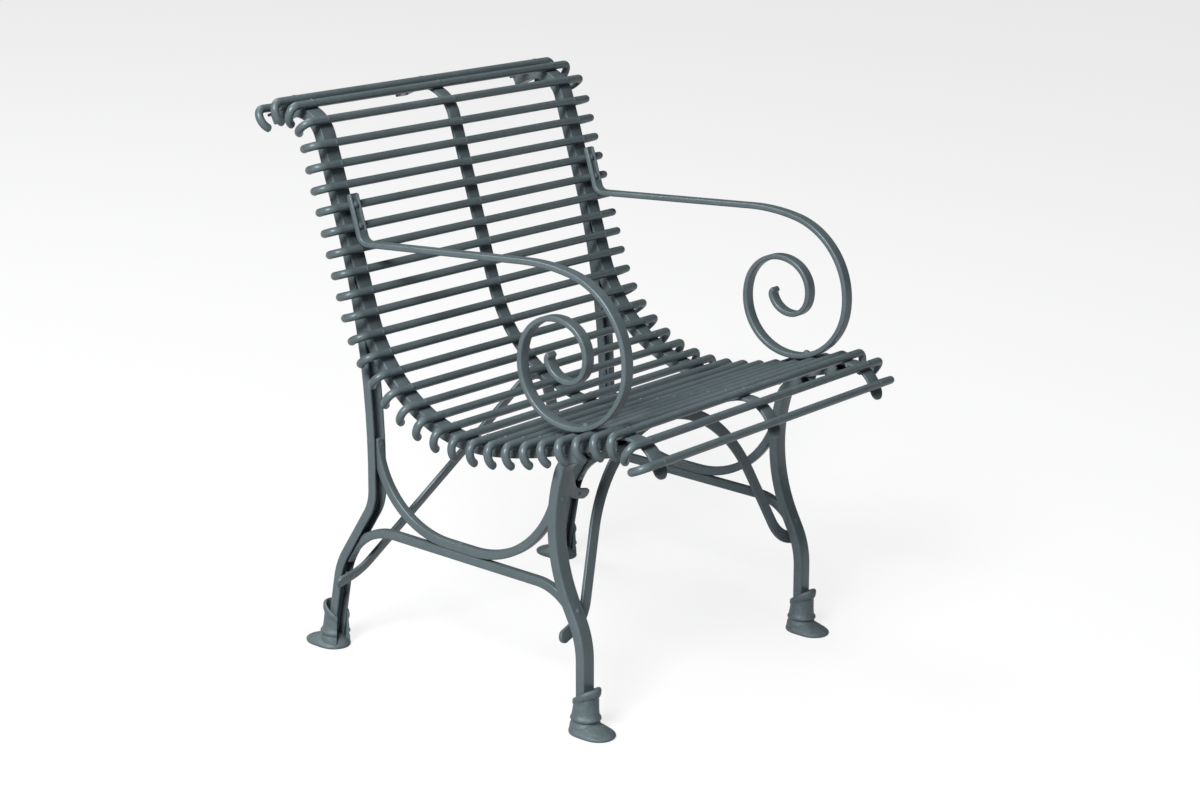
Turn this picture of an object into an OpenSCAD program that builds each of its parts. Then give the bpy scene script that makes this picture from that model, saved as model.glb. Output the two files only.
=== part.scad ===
// Wrought iron garden armchair: round rods with hooked ends, riveted to three
// ribs that run from the rolled front edge of the seat up to the rolled top.
// Two channel-section side frames carry the ribs, and scrolled arms are bolted
// on. X runs across the chair, the sitter faces -Y, and Z is up. The origin lies
// on the ground, under the middle of the chair's bounding box.

/* [Width] */
// Overall width over the hooked rod ends
chair_w = 660; // [600:5:720]
// Overhang of the rods past the middle planes of the side frames
overhang = 49; // [46:1:80]

/* [Line of the seat and back] */
// Height of the frontmost rod's middle
lip_z = 418; // [380:1:440]
// Angle at which the line leaves the frontmost rod
lip_angle = 63; // [56:1:66]
// Radius of the rolled front edge
lip_r = 56.5; // [50:0.5:64]
// Fall of the seat towards the back, in degrees
seat_fall = 18.5; // [16:0.5:21]
// Straight length of the seat behind the rolled edge
seat_run = 125; // [110:1:140]
// Radius of the shallow bend before the lowest rods
dip_r = 504; // [440:1:600]
// Fall of the line where the tight bend of the seat begins, in degrees
dip_fall = 7; // [5:0.5:9]
// Radius of the bend from the seat into the back
hollow_r = 211; // [200:1:222]
// Lean of the back from the vertical, in degrees
back_lean = 21; // [18:0.5:24]
// Straight length of the back
back_run = 262; // [250:1:290]
// Radius of the rolled top
roll_r = 63; // [58:1:72]
// Fall of the line at the end of the rolled top, in degrees
roll_fall = 28.5; // [20:0.5:35]

/* [Rods] */
// Diameter of a rod
rod_d = 12; // [10:0.5:13]
// Spacing of the rods on the seat and back
rod_pitch = 30.7; // [29:0.1:32]
// Spacing of the rods on the rolled front edge and top
roll_pitch = 34.7; // [32:0.1:36]
// Radius of a hooked end, at the middle of the rod
hook_r = 11.5; // [9:0.5:13]
// Radius of the wider bend that ends a hook
hook_tip_r = 20; // [16:1:26]
// Angle of that wider bend
hook_tip = 66; // [45:1:75]

/* [Ribs] */
// Width of a side rib
rib_w = 28; // [24:1:30]
// Thickness of a side rib
rib_t = 4; // [3:0.5:5]
// Width of the middle rib
mid_rib_w = 25; // [22:1:28]
// Thickness of the middle rib
mid_rib_t = 5; // [4:0.5:6]
// Length of a rib's rounded tongue past the frontmost rod
tongue = 22; // [16:1:26]
// Length of a rib past the last rod of the top
rib_tail = 12; // [10:1:20]

/* [Channels of the side frames] */
// Width of the channels
chan_w = 26; // [22:1:28]
// Depth of the leg channels
chan_d = 14; // [12:0.5:16]
// Depth of the seat rail's channel
rail_d = 12; // [10:0.5:14]
// Wall of the channels
chan_wall = 3.5; // [2.5:0.5:4]

/* [Legs] */
// Height at which the back post starts to leave the rib
leave_z = 649; // [630:1:660]
// Radius of the back leg's long upper sweep
back_sweep_r = 1264; // [1100:4:1500]
// Angle that the upper sweep turns through
back_sweep = 18; // [16:0.5:20]
// Radius of the back leg's bend
back_bend_r = 75; // [60:1:100]
// Angle that the back leg's bend turns through
back_bend = 31.5; // [28:0.5:34]
// Straight length under the back leg's bend
back_kick = 79; // [64:1:90]
// Radius of the back leg's ankle
back_ankle_r = 103; // [90:1:130]
// Lean of the back leg at the foot, in degrees
back_foot_lean = 6; // [4:0.5:8]
// Distance of the front leg's head from the frontmost rod, along the seat
front_leg_s = 188; // [178:1:196]
// Length of the front leg's flange that lies flat under the rail
head_flat = 14; // [8:1:20]
// Radius of the bend at the front leg's head
head_r = 40; // [34:1:50]
// Angle that the head's bend turns through
head_turn = 58.5; // [54:0.5:62]
// Radius of the front leg's long sweep
front_sweep_r = 268; // [240:2:300]
// Angle that the long sweep turns through
front_sweep = 43.5; // [40:0.5:46]
// Straight length under the sweep
front_kick = 19; // [10:1:30]
// Radius of the front leg's ankle
front_ankle_r = 124; // [110:1:140]
// Lean of the front leg at the foot, in degrees
front_foot_lean = 4.5; // [3:0.5:6]

/* [Arch and stretcher] */
// Width of the arch and the stretcher across the chair
bar_w = 13; // [11:0.5:15]
// Thickness of the arch and the stretcher
bar_t = 13; // [11:0.5:14]
// Height at which the arch rests on the stretcher
bar_z = 205; // [195:1:215]
// Height of the arch's ends
arch_z = 337; // [325:1:345]
// Height of the stretcher's end at the back leg
stretch_back_z = 137; // [134:1:142]
// Height of the stretcher's end at the front leg
stretch_front_z = 157; // [155:1:162]

/* [Braces] */
// Width of a brace
brace_w = 19; // [16:1:20]
// Thickness of a brace
brace_t = 5; // [4:0.5:6]
// Distance from the side frame's middle to the middle of the brace's round end
brace_end = 18; // [16:1:22]
// Height at which the front brace crosses the front legs
front_brace_z = 145; // [138:1:150]
// Backward lean of the front brace, in degrees
front_brace_lean = 15; // [12:0.5:18]
// Height at which the back brace crosses the back legs
back_brace_z = 117; // [108:1:122]
// Forward lean of the back brace, in degrees
back_brace_lean = 21; // [19:0.5:22]
// Slope of a brace's round end, in degrees
brace_toe = 15; // [10:1:20]
// Radius of the bend beside the leg
brace_toe_r = 60; // [50:1:70]
// How much steeper the front brace is above that bend than from its end to its top, in degrees
front_brace_bow = 24.8; // [22:0.2:27]
// How much steeper the back brace is above that bend than from its end to its top, in degrees
back_brace_bow = 5.5; // [4.7:0.1:7]

/* [Arms] */
// Width of an arm
arm_w = 20; // [16:1:22]
// Thickness of an arm
arm_t = 8; // [7:0.5:10]
// Radius of the bend at the back end
arm_bend_r = 11; // [9:1:16]
// Fall of the armrest towards the back, in degrees
arm_fall = 6; // [5:0.5:9]
// Length of the arm's upright above the upper bolt
arm_top = 16; // [12:1:20]
// Radius of the armrest's front crown
arm_crown_r = 293; // [270:1:320]
// Angle of the front crown
arm_crown = 16; // [12:0.5:18]
// Radius of the front of the scroll
scroll_front_r = 126; // [118:1:132]
// Angle of the front of the scroll
scroll_front = 84; // [80:0.5:88]
// Distance of the seat bolt from half way between its two rods
bolt_shift = 5.5; // [0:0.5:6]
// Radius of the scroll where it rests on the seat
scroll_foot_r = 94; // [88:1:98]
// Angle that the scroll turns through behind its seat bolt, from the level
scroll_foot = 18.7; // [16:0.1:20]
// Radius of the rise behind the seat bolt
scroll_rise_r = 88; // [84:1:92]
// Angle of that rise
scroll_rise = 83.5; // [82:0.5:85]
// Radius of the inner loop's top
scroll_top_r = 61; // [56:1:64]
// Angle of the inner loop's top
scroll_top = 107; // [104:1:110]
// Radius of the inner loop's front
scroll_in_r = 53; // [48:1:56]
// Angle of the inner loop's front
scroll_in = 74.6; // [72:0.2:77]
// Radius where the loop tightens
scroll_tight_r = 33; // [30:1:36]
// Angle where the loop tightens
scroll_tight = 74; // [70:1:76]
// Radius of the scroll's end
scroll_tip_r = 41; // [36:1:46]
// Angle that the scroll's end turns through
scroll_tip = 83; // [60:1:90]
// Depth of the recess that holds the upper bolts
recess_d = 4; // [3:0.5:5]

/* [Feet] */
// Length of a foot's sole
sole_l = 70; // [66:1:80]
// Width of a foot's sole
sole_w = 54; // [52:1:60]
// Height of a foot's domed pad
pad_h = 18; // [16:1:22]
// Diameter of the sleeve round the leg
sleeve_d = 37; // [36:1:40]
// Height of the sleeve's rim at the toe
rim_z = 72; // [64:1:78]
// Slope of the sleeve's rim, in degrees
rim_slope = 36; // [28:1:38]
// Distance from the leg's middle to the sole's middle
toe_shift = 13; // [11:1:15]

/* [Fasteners] */
// Diameter of the rivets
rivet_d = 4; // [3:0.5:5]
// Diameter of a rivet's head
rivet_head = 8; // [7:0.5:9]
// Diameter of the arm bolts
bolt_d = 6; // [5:0.5:7]
// Diameter of a bolt's round head
bolt_head = 11; // [10:0.5:12]
// Width of a nut across its corners
nut_d = 11.5; // [10:0.5:12]
// Height of a nut
nut_t = 6; // [5:0.5:6]
// Gap between a hole and its rivet or bolt, all round
fit_gap = 0.1; // [0.1:0.05:0.2]

/* [Hidden] */
$fn = 64;
arc_step = 4;
arc_sag = 0.05;
seat_gap = 0.1;
end_gap = 0.15;
nut_gap = 0.25;
iron = "#4b5356";

// Rods are counted from the last one of the top to the frontmost one.
LIP_GAPS = 2;
FLAT_GAPS = 25;
ROLL_GAPS = 4;
HOLLOW_GAPS = 13;
RODS = LIP_GAPS + FLAT_GAPS + ROLL_GAPS + 1;
ARM_RODS = [7, 8];
SEAT_BOLT_RODS = [26, 27];

ROD_NODES = [for (i = [1 : RODS]) str("rod_", i < 10 ? "0" : "", i)];

rod_r = rod_d / 2;
frame_x = chair_w / 2 - overhang;
rod_half = chair_w / 2 - hook_r - rod_r;

// Bent lines in the side view
// A place is [y, z, heading]. A line is a list of stretches: [length, 0] runs
// straight, and [radius, angle] bends to the left, or to the right if negative.

function stretch_len(g) = g[1] == 0 ? g[0] : g[0] * abs(g[1]) * PI / 180;

function line_len(p, i = 0) = i >= len(p) ? 0 : stretch_len(p[i]) + line_len(p, i + 1);

function go(at, g) =
    g[1] == 0
    ? [at[0] + g[0] * cos(at[2]), at[1] + g[0] * sin(at[2]), at[2]]
    : let (r = g[0] * sign(g[1]), h = at[2] + g[1])
      [at[0] + r * (sin(h) - sin(at[2])), at[1] - r * (cos(h) - cos(at[2])), h];

function piece_of(g, d) = g[1] == 0 ? [d, 0] : [g[0], g[1] * d / stretch_len(g)];

// Place at distance s along a line, straight on past its end
function along(at, p, s, i = 0) =
    s <= 0 || i >= len(p) ? go(at, [s, 0])
    : s <= stretch_len(p[i]) ? go(at, piece_of(p[i], s))
    : along(go(at, p[i]), p, s - stretch_len(p[i]), i + 1);

// First s of a line, straight on past its end
function first(p, s, i = 0) =
    s <= 0 ? []
    : i >= len(p) ? [[s, 0]]
    : s <= stretch_len(p[i]) ? [piece_of(p[i], s)]
    : concat([p[i]], first(p, s - stretch_len(p[i]), i + 1));

// What is left of a line after its first s
function rest(p, s, i = 0) =
    i >= len(p) ? []
    : s >= stretch_len(p[i]) ? rest(p, s - stretch_len(p[i]), i + 1)
    : concat([piece_of(p[i], stretch_len(p[i]) - s)], [for (j = [i + 1 : 1 : len(p) - 1]) p[j]]);

function reversed(p) = [for (i = [len(p) - 1 : -1 : 0]) [p[i][0], -p[i][1]]];
function turned(at) = [at[0], at[1], at[2] + 180];

// Parallel place and line, at distance b to the left
function beside(at, b) = [at[0] - b * sin(at[2]), at[1] + b * cos(at[2]), at[2]];
function parallel(p, b) = [for (g = p) g[1] == 0 ? g : [g[0] - sign(g[1]) * b, g[1]]];

// Distance along a falling line at which it passes height z
function s_at_z(at, p, z, lo, hi, n = 30) =
    n == 0 ? (lo + hi) / 2
    : let (m = (lo + hi) / 2)
      along(at, p, m)[1] > z ? s_at_z(at, p, z, m, hi, n - 1) : s_at_z(at, p, z, lo, m, n - 1);

// The middles of all rods lie on one line, from the frontmost rod up to the top
slat_line = [
    [lip_r, -lip_angle - seat_fall],
    [seat_run, 0],
    [dip_r, seat_fall - dip_fall],
    [hollow_r, dip_fall + 90 - back_lean],
    [back_run, 0],
    [roll_r, back_lean - 90 - roll_fall]
];
raw_start = [0, lip_z, lip_angle];

// Position of rod i along the line
function rod_s(i) =
    let (j = RODS - 1 - i)
    roll_pitch * min(j, LIP_GAPS)
    + rod_pitch * min(max(j - LIP_GAPS, 0), FLAT_GAPS)
    + roll_pitch * max(j - LIP_GAPS - FLAT_GAPS, 0);

rib_s0 = -tongue;
rib_s1 = rod_s(0) + rib_tail;

// The box runs from the tip of the tongue to the end of a rib or the last rod
raw_tip = beside(go(raw_start, [-tongue, 0]), -rod_r);
raw_end = along(raw_start, slat_line, rib_s1);
raw_back = max(raw_end[0], along(raw_start, slat_line, rod_s(0))[0] + rod_r,
    beside(raw_end, -rod_r)[0]);
slat_start = [-(raw_tip[0] + raw_back) / 2, lip_z, lip_angle];

function slat(s) = s < 0 ? go(slat_start, [s, 0]) : along(slat_start, slat_line, s);

// Stretches of the line from s0 to s1, moved b to the left
function slat_part(s0, s1, b) =
    parallel(first(rest(concat([[max(-s0, 0), 0]], slat_line), max(s0, 0)), s1 - s0), b);

// Undersides of the side ribs and of the middle rib
under = -rod_r - rib_t;
mid_under = -rod_r - mid_rib_t;

// Back leg and post, down the front edges of its channel
leave_s = s_at_z(turned(slat(rod_s(ROLL_GAPS))), reversed(slat_part(0, rod_s(ROLL_GAPS), 0)), leave_z,
    0, rod_pitch * HOLLOW_GAPS);
post_s1 = rod_s(0) + rod_r;
post_start = turned(beside(slat(post_s1), under - seat_gap));
post_top = reversed(slat_part(rod_s(ROLL_GAPS) - leave_s, post_s1, under - seat_gap));
foot_z = 14;

// A line that ends with a straight stretch down to the foot
function to_foot(at, p) =
    let (e = along(at, p, line_len(p)))
    concat(p, [[(foot_z - e[1]) / sin(e[2]), 0]]);

post_line = to_foot(post_start, concat(post_top, [
    [back_sweep_r, back_sweep],
    [back_bend_r, back_bend],
    [back_kick, 0],
    [back_ankle_r, -(back_sweep + back_bend - back_lean - back_foot_lean)]
]));

// Front leg, down the rear edges of its channel
rail_top = under - seat_gap;
rail_under = rail_top - rail_d;
head_cut = head_flat + head_r * tan(head_turn / 2);
front_start = beside(slat(front_leg_s - head_cut), rail_under);
front_line = to_foot(front_start, [
    [head_flat, 0],
    [head_r, -head_turn],
    [front_sweep_r, -front_sweep],
    [front_kick, 0],
    [front_ankle_r, head_turn + front_sweep + seat_fall - 90 - front_foot_lean]
]);

function post_at_z(z) =
    along(post_start, post_line,
        s_at_z(post_start, post_line, z, post_s1 - rod_s(ROLL_GAPS), line_len(post_line)));
function front_at_z(z) =
    along(front_start, front_line, s_at_z(front_start, front_line, z, 0, line_len(front_line)));

// Bent bars between the legs
// A bar leaves one leg with heading a, levels out at height bar_z, and meets the
// other leg with heading b.
function bar_line(a, b) =
    let (
        ra = abs(a[1] - bar_z) / (1 + cos(a[2])),
        rb = abs(b[1] - bar_z) / (1 + cos(b[2])),
        run = a[0] - b[0] - ra * abs(sin(a[2])) - rb * abs(sin(b[2]))
    )
    [[ra, 180 - a[2]], [run, 0], [rb, b[2] - 180]];

web_in = chan_d - chan_wall;
arch_start = beside(post_at_z(arch_z), web_in);
arch_end = turned(beside(front_at_z(arch_z), -web_in));
arch_line = bar_line(arch_start, arch_end);

// The stretcher starts upwards, and ends down the front leg.
stretch_foot = beside(post_at_z(stretch_back_z), web_in);
stretch_start = [stretch_foot[0], stretch_foot[1], stretch_foot[2] - 180];
stretch_toe = beside(front_at_z(stretch_front_z), -web_in);
stretch_end = [stretch_toe[0], stretch_toe[1], stretch_toe[2] + 360];
stretch_line = bar_line(stretch_start, stretch_end);

// Arms
// The scroll rests on a rod, and its bolt goes down between that rod and the next.
seat_bolt_s = (rod_s(SEAT_BOLT_RODS[0]) + rod_s(SEAT_BOLT_RODS[1])) / 2 - bolt_shift;
scroll_rest = sqrt(pow(scroll_foot_r + rod_r, 2) - pow(rod_pitch / 2 - bolt_shift, 2)) - scroll_foot_r;
arm_foot = beside(slat(seat_bolt_s), scroll_rest);
foot_fall = -arm_foot[2];
arm_front = [
    [scroll_foot_r, foot_fall + scroll_front + arm_crown - 180 - arm_fall],
    [scroll_front_r, -scroll_front],
    [arm_crown_r, -arm_crown]
];
arm_up_start = turned(arm_foot);
crown_end = along(arm_up_start, arm_front, line_len(arm_front));

// The upright's front face is parallel to the back, one arm's thickness off the rods
back_mid = slat(rod_s(ARM_RODS[0]));
arm_face = beside(back_mid, rod_r + arm_t);
bend_turn = arm_face[2] - crown_end[2] - (crown_end[2] > 90 ? -360 : 0);
bend_end = go(crown_end, [arm_bend_r, bend_turn]);
face_n = [-sin(arm_face[2]), cos(arm_face[2])];
rest_dir = [cos(crown_end[2]), sin(crown_end[2])];
rest_run = (face_n * [arm_face[0], arm_face[1]] - face_n * [bend_end[0], bend_end[1]])
    / (face_n * rest_dir);
up_dir = [cos(arm_face[2]), sin(arm_face[2])];
corner = go(go(crown_end, [rest_run, 0]), [arm_bend_r, bend_turn]);
upright = up_dir * [arm_face[0] - corner[0], arm_face[1] - corner[1]] + arm_top;
arm_back = concat(arm_front, [[rest_run, 0], [arm_bend_r, bend_turn], [upright, 0]]);
arm_line = concat(reversed(arm_back), [
    [scroll_foot_r, foot_fall + scroll_foot],
    [scroll_rise_r, scroll_rise],
    [scroll_top_r, scroll_top],
    [scroll_in_r, scroll_in],
    [scroll_tight_r, scroll_tight],
    [scroll_tip_r, scroll_tip]
]);
arm_start = turned(along(arm_up_start, arm_back, line_len(arm_back)));
arm_outline = outline(arm_start, arm_line, 0, arm_t);

// Bars
// A bar follows a line in the side view and is cut from a plate that is as
// thick as the bar is wide. It lies between two parallels of the line.

function steps(g) =
    g[1] == 0 ? 1 : ceil(abs(g[1]) / min(arc_step, 2 * acos(1 - arc_sag / g[0])));

// Points of a line, with its bends in small steps
function points(at, p, i = 0) =
    i >= len(p) ? [[at[0], at[1]]]
    : let (n = steps(p[i]), d = stretch_len(p[i]) / n)
      concat([for (j = [0 : n - 1]) let (q = along(at, [p[i]], j * d)) [q[0], q[1]]],
          points(go(at, p[i]), p, i + 1));

function backwards(q) = [for (i = [len(q) - 1 : -1 : 0]) q[i]];

function outline(at, p, b0, b1) = concat(points(beside(at, b0), parallel(p, b0)),
    backwards(points(beside(at, b1), parallel(p, b1))));

module bar(at, p, b0, b1, w) {
    rotate([90, 0, 90])
        linear_extrude(w, center = true)
            polygon(outline(at, p, b0, b1));
}

// Channel that is open at the line and closed at side * d
module channel(at, p, d, side) {
    difference() {
        bar(at, p, 0, side * d, chan_w);
        bar(go(at, [-1, 0]), concat([[1, 0]], p, [[1, 0]]),
            -side, side * (d - chan_wall), chan_w - 2 * chan_wall);
    }
}

// Stands a child on a place: its Z runs to the left of the line, its Y along it
module stand(at, x = 0) {
    translate([x, at[0], at[1]])
        rotate([at[2], 0, 0])
            children();
}

// Low dome that stands on z = 0
module dome(d, h) {
    r = (d * d / 4 + h * h) / (2 * h);
    intersection() {
        translate([0, 0, h - r])
            sphere(r);
        cylinder(d = d + 1, h = h + 1);
    }
}

// Rivet with its head on z = 0 and its closed end at z = -grip
module rivet(d, head, grip) {
    dome(head, head * 0.2);
    translate([0, 0, -grip])
        cylinder(d = d, h = grip);
    translate([0, 0, -grip])
        rotate([180, 0, 0])
            dome(head * 0.85, head * 0.2);
}

module hole(d, grip) {
    translate([0, 0, -grip - 1])
        cylinder(d = d + 2 * fit_gap, h = grip + 2);
}

// Rods
spot = 0.8;

// Whether rod i is riveted to the rib at this side of the chair
function riveted(i, side) =
    side == 0 || len(search(i, concat(ARM_RODS, SEAT_BOLT_RODS))) == 0;

module rod(i) {
    color(iron)
        stand(slat(rod_s(i)))
            difference() {
                union() {
                    rotate([0, 90, 0])
                        cylinder(d = rod_d, h = 2 * rod_half, center = true);
                    for (m = [0, 1])
                        mirror([m, 0, 0])
                            translate([rod_half, 0, 0])
                                rod_hook();
                }
                for (side = [-1, 0, 1])
                    if (riveted(i, side))
                        translate([side * frame_x, 0, 0])
                            rod_hole();
                if (i == ARM_RODS[0] || i == ARM_RODS[1])
                    for (side = [-1, 1])
                        translate([side * frame_x, 0, rod_r])
                            hole(bolt_d, rod_d);
            }
}

// Quarter turn, followed by a wider bend that ends the hook
module rod_hook() {
    translate([0, 0, -hook_r])
        rotate([90, 0, 0])
            rotate_extrude(angle = 90)
                translate([hook_r, 0])
                    circle(rod_r);
    translate([hook_r - hook_tip_r, 0, -hook_r])
        rotate([-90, 0, 0])
            rotate_extrude(angle = hook_tip)
                translate([hook_tip_r, 0])
                    circle(rod_r);
}

module rod_hole() {
    translate([0, 0, rod_r])
        hole(rivet_d, rod_d);
    translate([0, 0, rod_r - spot])
        cylinder(d = rivet_head + 2 * fit_gap, h = spot + 1);
}

module rod_rivets() {
    color(iron)
        for (i = [0 : RODS - 1])
            for (side = [-1, 0, 1])
                if (riveted(i, side))
                    stand(slat(rod_s(i)), side * frame_x)
                        translate([0, 0, rod_r - spot])
                            rivet(rivet_d, rivet_head,
                                rod_d - spot + (side == 0 ? mid_rib_t : rib_t) + end_gap);
}

// Ribs
module rib(w, t, side) {
    color(iron)
        difference() {
            translate([side * frame_x, 0, 0])
                difference() {
                    bar(slat(rib_s0), slat_part(rib_s0, rib_s1, 0),
                        -rod_r - seat_gap, -rod_r - t, w);
                    stand(slat(rib_s0))
                        tongue_end(w, t);
                }
            for (i = [0 : RODS - 1])
                if (riveted(i, side))
                    stand(slat(rod_s(i)), side * frame_x)
                        hole(rivet_d, rod_r + t);
            if (side != 0) {
                for (i = ARM_RODS)
                    stand(slat(rod_s(i)), side * frame_x)
                        hole(bolt_d, rod_r + t);
                stand(slat(seat_bolt_s), side * frame_x)
                    hole(bolt_d, rod_r + t);
            }
        }
}

// What is cut away to round the end of a rib's tongue
module tongue_end(w, t) {
    r = w / 2 + 0.5;
    translate([0, 0, -rod_r - t - 1])
        difference() {
            translate([-w, -w, 0])
                cube([2 * w, w + r * 0.8, t + 2]);
            translate([0, r, -1])
                cylinder(r = r, h = t + 4);
        }
}

// Side frames
module back_post(side) {
    color(iron)
        difference() {
            translate([side * frame_x, 0, 0])
                channel(post_start, post_line, chan_d, 1);
            for (i = ARM_RODS)
                stand(slat(rod_s(i)), side * frame_x)
                    hole(bolt_d, rod_r + rib_t + seat_gap + chan_d);
            post_rivets(side)
                hole(rivet_d, chan_wall);
            leg_brace_hole(back_brace_at, -back_brace_lean);
        }
}

// Hole for a brace's rivet, with a flat seat for its closed end
brace_grip = brace_t + chan_d + 0.5;

module leg_brace_hole(at, lean) {
    brace_rivet(at, lean) {
        hole(rivet_d, brace_grip);
        translate([0, 0, -brace_grip - chan_wall])
            cylinder(d = rivet_head + 1, h = chan_wall);
    }
}

rail_s0 = LIP_GAPS * roll_pitch + rod_pitch / 2;
rail_s1 = rod_s(11);

module seat_rail(side) {
    color(iron)
        difference() {
            translate([side * frame_x, 0, 0])
                difference() {
                    channel(beside(slat(rail_s0), rail_top),
                        slat_part(rail_s0, rail_s1, rail_top), rail_d, -1);
                    bar(post_start, post_line, -seat_gap, chan_d + seat_gap, chan_w + 2);
                }
            stand(slat(seat_bolt_s), side * frame_x)
                hole(bolt_d, -rail_under);
            head_rivet(side)
                hole(rivet_d, head_grip);
        }
}

module front_leg(side) {
    color(iron)
        difference() {
            translate([side * frame_x, 0, 0])
                channel(front_start, front_line, chan_d, -1);
            head_rivet(side)
                hole(rivet_d, head_grip);
            front_rivets(side)
                hole(rivet_d, chan_wall);
            leg_brace_hole(front_brace_at, front_brace_lean);
        }
}

module arch(side) {
    color(iron)
        difference() {
            translate([side * frame_x, 0, 0])
                bar(arch_start, arch_line, 0, -bar_t, bar_w);
            bar_holes(side);
        }
}

module stretcher(side) {
    color(iron)
        difference() {
            translate([side * frame_x, 0, 0])
                bar(stretch_start, stretch_line, 0, bar_t, bar_w);
            bar_holes(side);
        }
}

// Places of the rivets of the side frames, with Z out of the metal
end_inset = 9;
bar_grip = seat_gap + chan_wall + bar_t;
head_grip = chan_wall + chan_d;
mid_y = (arch_start[0] + arch_end[0]) / 2;

module post_rivets(side) {
    for (z = [arch_z - end_inset, stretch_back_z + end_inset])
        stand(beside(post_at_z(z), chan_d + seat_gap), side * frame_x)
            children();
}

module front_rivets(side) {
    for (z = [arch_z - end_inset, stretch_front_z + end_inset])
        stand(beside(front_at_z(z), -chan_d - seat_gap), side * frame_x)
            rotate([180, 0, 0])
                children();
}

module bar_rivet(side) {
    translate([side * frame_x, mid_y, bar_z + bar_t])
        children();
}

module head_rivet(side) {
    at = beside(slat(front_leg_s - head_cut + head_flat * 0.6), rail_under + chan_wall);
    stand(at, side * frame_x)
        children();
}

// Holes in the arch or the stretcher, with a flat seat for each closed end
module bar_holes(side) {
    post_rivets(side)
        seated_hole();
    front_rivets(side)
        seated_hole();
    bar_rivet(side)
        hole(rivet_d, 2 * bar_t);
}

module seated_hole() {
    hole(rivet_d, bar_grip);
    translate([0, 0, -bar_grip - 3])
        cylinder(d = rivet_head + 1, h = 3);
}

module frame_rivets() {
    color(iron)
        for (side = [-1, 1]) {
            post_rivets(side)
                rivet(rivet_d, rivet_head, bar_grip);
            front_rivets(side)
                rivet(rivet_d, rivet_head, bar_grip);
            bar_rivet(side)
                rivet(rivet_d, rivet_head, 2 * bar_t);
            head_rivet(side)
                rivet(rivet_d, rivet_head, head_grip);
        }
}

// Braces
// Each brace is one flat bar in a leaning plane: from a round end behind one
// leg it bends up, arches under the middle rib, and comes down to the other leg.

// Line from the middle of the round end to the top of the arch, where x = 0:
// here a place is [x, height in the plane, heading]
function brace_line(x0, rise, bow) =
    let (
        slope = atan2(rise, x0) + bow,
        a = go(go([x0, 0, 180 - brace_toe], [brace_end * 1.2, 0]),
            [brace_toe_r, brace_toe - slope]),
        r = (a[0] * sin(slope) - cos(slope) * (rise - a[1])) / (1 - cos(slope)),
        run = (sin(slope) * (rise - a[1]) - (1 - cos(slope)) * a[0]) / (1 - cos(slope))
    )
    [[brace_end * 1.2, 0], [brace_toe_r, brace_toe - slope], [run, 0], [r, slope]];

// Outline of the whole brace, from one round end to the other
function brace_outline(x0, rise, bow) =
    let (
        half = brace_w / 2,
        s0 = [x0, 0, 180 - brace_toe],
        p = brace_line(x0, rise, bow),
        upper = points(beside(s0, -half), parallel(p, -half)),
        lower = points(beside(s0, half), parallel(p, half)),
        round_end = [for (a = [15 : 15 : 165])
            let (b = a - 90 - brace_toe) [x0 + half * cos(b), half * sin(b)]],
        right = concat(backwards(lower), round_end, upper)
    )
    concat(right, [for (i = [len(right) - 2 : -1 : 1]) [-right[i][0], right[i][1]]]);

// Flat brace through a place on the legs, leaning back by the given angle
module brace(at, lean, rise, bow) {
    difference() {
        lean_plane(at, lean)
            rotate([90, 0, 0])
                linear_extrude(brace_t, center = true)
                    polygon(brace_outline(frame_x + brace_end, rise, bow));
        brace_rivet(at, lean)
            hole(rivet_d, brace_t);
    }
}

module lean_plane(at, lean) {
    translate([0, at[0], at[1]])
        rotate([-lean, 0, 0])
            children();
}

// Places of a brace's rivets, on its side away from the legs
module brace_rivet(at, lean) {
    away = lean > 0 ? 1 : -1;
    for (side = [-1, 1])
        lean_plane(at, lean)
            translate([side * frame_x, away * brace_t / 2, brace_end * tan(brace_toe)])
                rotate([-away * 90, 0, 0])
                    children();
}

// A brace lies on the edges of the legs' open sides.
brace_reach = [-brace_w : 3 : brace_w + 6];
front_edge = [for (h = brace_reach) front_at_z(front_brace_z + h)];
back_edge = [for (h = brace_reach) post_at_z(back_brace_z + h)];

// Middle of the brace's round end
function brace_place(edge, mid, lean, away) =
    let (
        n = away * [cos(lean), -sin(lean)],
        t = [sin(lean), cos(lean)],
        out = max([for (q = edge) n * [q[0], q[1]]]) + seat_gap + brace_t / 2
    )
    out * n + (t * [mid[0], mid[1]] - brace_end * tan(brace_toe)) * t;
front_brace_at = brace_place(front_edge, front_at_z(front_brace_z), front_brace_lean, 1);
back_brace_at = brace_place(back_edge, post_at_z(back_brace_z), -back_brace_lean, -1);

// Distance along the leaning plane from the round end to the middle rib
function rib_distance(at, lean, lo, hi, n = 30) =
    let (
        s = (lo + hi) / 2,
        p = beside(slat(s), mid_under),
        y = at[0] + (p[1] - at[1]) * tan(lean)
    )
    n == 0 ? (p[1] - at[1]) / cos(lean)
    : p[0] < y ? rib_distance(at, lean, s, hi, n - 1) : rib_distance(at, lean, lo, s, n - 1);

brace_gap = 0.3;
function brace_rise(at, lean) =
    rib_distance(at, lean, rod_s(RODS - 2), rod_s(ARM_RODS[1])) - brace_w / 2 - brace_gap;

module front_brace() {
    color(iron)
        brace(front_brace_at, front_brace_lean,
            brace_rise(front_brace_at, front_brace_lean), front_brace_bow);
}

module back_brace() {
    color(iron)
        brace(back_brace_at, -back_brace_lean,
            brace_rise(back_brace_at, -back_brace_lean), back_brace_bow);
}

module brace_rivets() {
    color(iron)
        brace_rivet(front_brace_at, front_brace_lean)
            rivet(rivet_d, rivet_head, brace_grip);
    color(iron)
        brace_rivet(back_brace_at, -back_brace_lean)
            rivet(rivet_d, rivet_head, brace_grip);
}

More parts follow.
